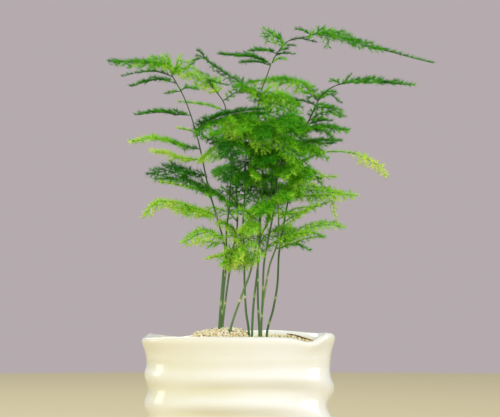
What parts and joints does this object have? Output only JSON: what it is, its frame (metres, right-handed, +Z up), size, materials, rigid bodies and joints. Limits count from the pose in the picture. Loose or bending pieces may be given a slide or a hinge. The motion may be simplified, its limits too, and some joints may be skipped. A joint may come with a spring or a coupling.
{
  "type": "potted asparagus fern",
  "caption": "Feathery asparagus fern on tall wiry stems, rooted in a grit-topped filling in a square, rippled, ivory-glazed ceramic pot.",
  "frame": {"origin": "centre of the pot's flat underside", "axes": "+Z up along the stems, +X to the right and +Y away as seen from the pictured side"},
  "size_m": [0.2172, 0.1268, 0.3177],
  "materials": {
    "ivory_glaze": "glossy ivory glaze over hand-pinched ripples",
    "potting_soil": "damp crumbly potting soil, matt",
    "cream_grit": "small cream and pale yellow grit grains, matt",
    "fern_green": "fresh green needle foliage on smooth green canes, satin"
  },
  "bodies": {
    "root": {"pot": "ivory_glaze", "soil": "potting_soil", "gravel_top": "cream_grit", "leafy_stem_01": "fern_green", "leafy_stem_02": "fern_green", "leafy_stem_03": "fern_green", "leafy_stem_04": "fern_green", "leafy_stem_05": "fern_green", "leafy_stem_06": "fern_green", "leafy_stem_07": "fern_green", "leafy_stem_08": "fern_green", "leafy_stem_09": "fern_green", "leafy_stem_10": "fern_green"}
  },
  "joints": []
}
